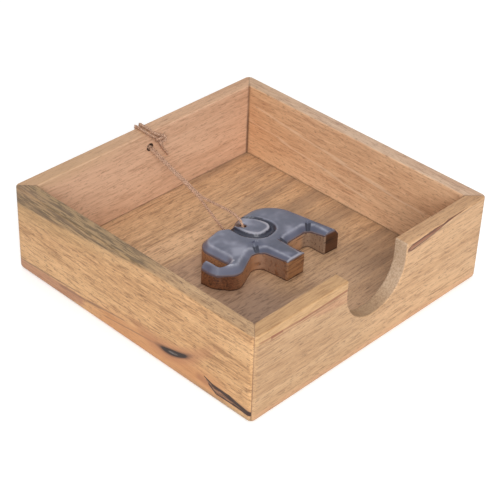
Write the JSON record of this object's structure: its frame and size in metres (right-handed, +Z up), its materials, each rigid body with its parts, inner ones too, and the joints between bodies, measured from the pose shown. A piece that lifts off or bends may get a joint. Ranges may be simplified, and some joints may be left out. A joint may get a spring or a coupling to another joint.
{
  "type": "napkin holder",
  "caption": "square mitred wooden tray for folded napkins, with a thumb notch in one wall and an elephant-shaped wood and enamel weight held by a loop of twine",
  "frame": {"origin": "on the table, under the middle of the tray", "axes": "+Z up, -Y towards the notched front wall, +X to the right seen from the front"},
  "size_m": [0.19, 0.1917, 0.0587],
  "materials": {
    "front_wall_wood": "light peach-tan hardwood, oiled, satin",
    "back_wall_wood": "pinkish tan hardwood, oiled, satin",
    "left_wall_wood": "golden tan hardwood with a greenish grey band, oiled, satin",
    "right_wall_wood": "warm orange-tan hardwood, oiled, satin",
    "floor_wood": "brown-tan hardwood panel, oiled, satin",
    "elephant_wood": "reddish brown sawn sides, satin",
    "enamel": "poured slate-blue enamel, glossy",
    "twine": "natural jute twine, hairy"
  },
  "bodies": {
    "tray": {"front_wall": "front_wall_wood", "back_wall": "back_wall_wood", "left_wall": "left_wall_wood", "right_wall": "right_wall_wood", "floor_panel": "floor_wood", "rim_strand_left": "twine", "rim_strand_right": "twine", "twine_knot": "twine", "twine_tail": "twine"},
    "twine": {"twine_left": "twine", "twine_right": "twine"},
    "elephant": {"elephant_body": "elephant_wood", "elephant_enamel": "enamel", "twine_eye": "twine"}
  },
  "joints": [
    {"name": "twine_lift", "type": "hinge", "parent": "tray", "child": "twine", "pos_m": [0.0007, 0.0852, 0.0465], "axis": [-1, 0, 0], "range_deg": [0, 72]},
    {"name": "weight_level", "type": "hinge", "parent": "twine", "child": "elephant", "pos_m": [0.006, 0.0468, 0.0267], "axis": [-1, 0, 0], "range_deg": [-72, 0]}
  ],
  "couplings": [
    {"joint": "weight_level", "follows": "twine_lift", "ratio": -1}
  ]
}
